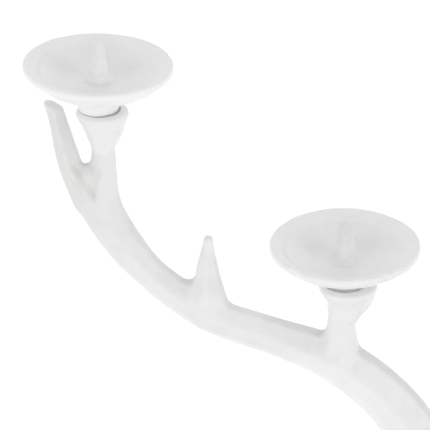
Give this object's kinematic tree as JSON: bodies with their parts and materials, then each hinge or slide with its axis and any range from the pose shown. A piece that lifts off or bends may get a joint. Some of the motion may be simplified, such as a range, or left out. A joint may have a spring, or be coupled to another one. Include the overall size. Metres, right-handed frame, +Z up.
{
  "type": "antler chandelier",
  "caption": "Hanging antler chandelier: cast antler arms round a hub on a chain, each with dished candle pans on flared cups with upright spikes for pillar candles.",
  "frame": {"origin": "middle of the ceiling rose's flat back, on the ceiling", "axes": "+Z up into the ceiling; the first arm points along -X and the others follow at quarter turns about Z"},
  "size_m": [0.6766, 0.6766, 0.6331],
  "materials": {
    "antler_enamel": "satin white enamel on cast metal",
    "cup_enamel": "satin white enamel on cast metal",
    "pan_enamel": "satin white enamel on cast metal",
    "pricket_enamel": "satin white enamel on cast metal",
    "chain_enamel": "satin white enamel on steel wire",
    "fitting_enamel": "satin white enamel on turned metal",
    "zinc_steel": "zinc plate"
  },
  "bodies": {
    "canopy": {"ceiling_rose": "fitting_enamel", "ceiling_hook": "chain_enamel", "hook_nut": "zinc_steel"},
    "link_1": {"chain_link_1": "chain_enamel"},
    "link_2": {"chain_link_2": "chain_enamel"},
    "link_3": {"chain_link_3": "chain_enamel"},
    "frame": {"hanging_eye": "chain_enamel", "column_cap": "fitting_enamel", "column_tube": "fitting_enamel", "column_base": "fitting_enamel", "tie_rod": "zinc_steel", "hub_plate": "fitting_enamel", "hub_washer": "zinc_steel", "hub_nut": "zinc_steel", "arm_bolts": "zinc_steel", "hub_cover": "fitting_enamel", "finial": "fitting_enamel", "cup_studs": "zinc_steel", "antler_1": "antler_enamel", "antler_2": "antler_enamel", "antler_3": "antler_enamel", "antler_4": "antler_enamel", "outer_cup_1": "cup_enamel", "outer_cup_2": "cup_enamel", "outer_cup_3": "cup_enamel", "outer_cup_4": "cup_enamel", "inner_cup_1": "cup_enamel", "inner_cup_2": "cup_enamel", "inner_cup_3": "cup_enamel", "inner_cup_4": "cup_enamel", "outer_pricket_1": "pricket_enamel", "outer_pricket_2": "pricket_enamel", "outer_pricket_3": "pricket_enamel", "outer_pricket_4": "pricket_enamel", "inner_pricket_1": "pricket_enamel", "inner_pricket_2": "pricket_enamel", "inner_pricket_3": "pricket_enamel", "inner_pricket_4": "pricket_enamel"},
    "outer_pan_1": {"outer_pan_1": "pan_enamel"},
    "outer_pan_2": {"outer_pan_2": "pan_enamel"},
    "outer_pan_3": {"outer_pan_3": "pan_enamel"},
    "outer_pan_4": {"outer_pan_4": "pan_enamel"},
    "inner_pan_1": {"inner_pan_1": "pan_enamel"},
    "inner_pan_2": {"inner_pan_2": "pan_enamel"},
    "inner_pan_3": {"inner_pan_3": "pan_enamel"},
    "inner_pan_4": {"inner_pan_4": "pan_enamel"}
  },
  "joints": [
    {"name": "link_1_swing", "type": "hinge", "parent": "canopy", "child": "link_1", "pos_m": [0, 0, -0.06378], "axis": [1, 0, 0], "range_deg": [-15, 15]},
    {"name": "link_2_swing", "type": "hinge", "parent": "link_1", "child": "link_2", "pos_m": [0, 0, -0.11948], "axis": [0, 1, 0], "range_deg": [-15, 15]},
    {"name": "link_3_swing", "type": "hinge", "parent": "link_2", "child": "link_3", "pos_m": [0, 0, -0.17568], "axis": [1, 0, 0], "range_deg": [-15, 15]},
    {"name": "frame_swing", "type": "hinge", "parent": "link_3", "child": "frame", "pos_m": [0, 0, -0.23188], "axis": [0, 1, 0], "range_deg": [-15, 15]},
    {"name": "outer_pan_1_turn", "type": "hinge", "parent": "frame", "child": "outer_pan_1", "pos_m": [-0.28825, 0, -0.26618], "axis": [0, 0, 1], "continuous": true},
    {"name": "outer_pan_2_turn", "type": "hinge", "parent": "frame", "child": "outer_pan_2", "pos_m": [0, -0.28825, -0.26618], "axis": [0, 0, 1], "continuous": true},
    {"name": "outer_pan_3_turn", "type": "hinge", "parent": "frame", "child": "outer_pan_3", "pos_m": [0.28825, 0, -0.26618], "axis": [0, 0, 1], "continuous": true},
    {"name": "outer_pan_4_turn", "type": "hinge", "parent": "frame", "child": "outer_pan_4", "pos_m": [0, 0.28825, -0.26618], "axis": [0, 0, 1], "continuous": true},
    {"name": "inner_pan_1_turn", "type": "hinge", "parent": "frame", "child": "inner_pan_1", "pos_m": [-0.12268, 0, -0.38846], "axis": [0, 0, 1], "continuous": true},
    {"name": "inner_pan_2_turn", "type": "hinge", "parent": "frame", "child": "inner_pan_2", "pos_m": [0, -0.12268, -0.38846], "axis": [0, 0, 1], "continuous": true},
    {"name": "inner_pan_3_turn", "type": "hinge", "parent": "frame", "child": "inner_pan_3", "pos_m": [0.12268, 0, -0.38846], "axis": [0, 0, 1], "continuous": true},
    {"name": "inner_pan_4_turn", "type": "hinge", "parent": "frame", "child": "inner_pan_4", "pos_m": [0, 0.12268, -0.38846], "axis": [0, 0, 1], "continuous": true}
  ]
}
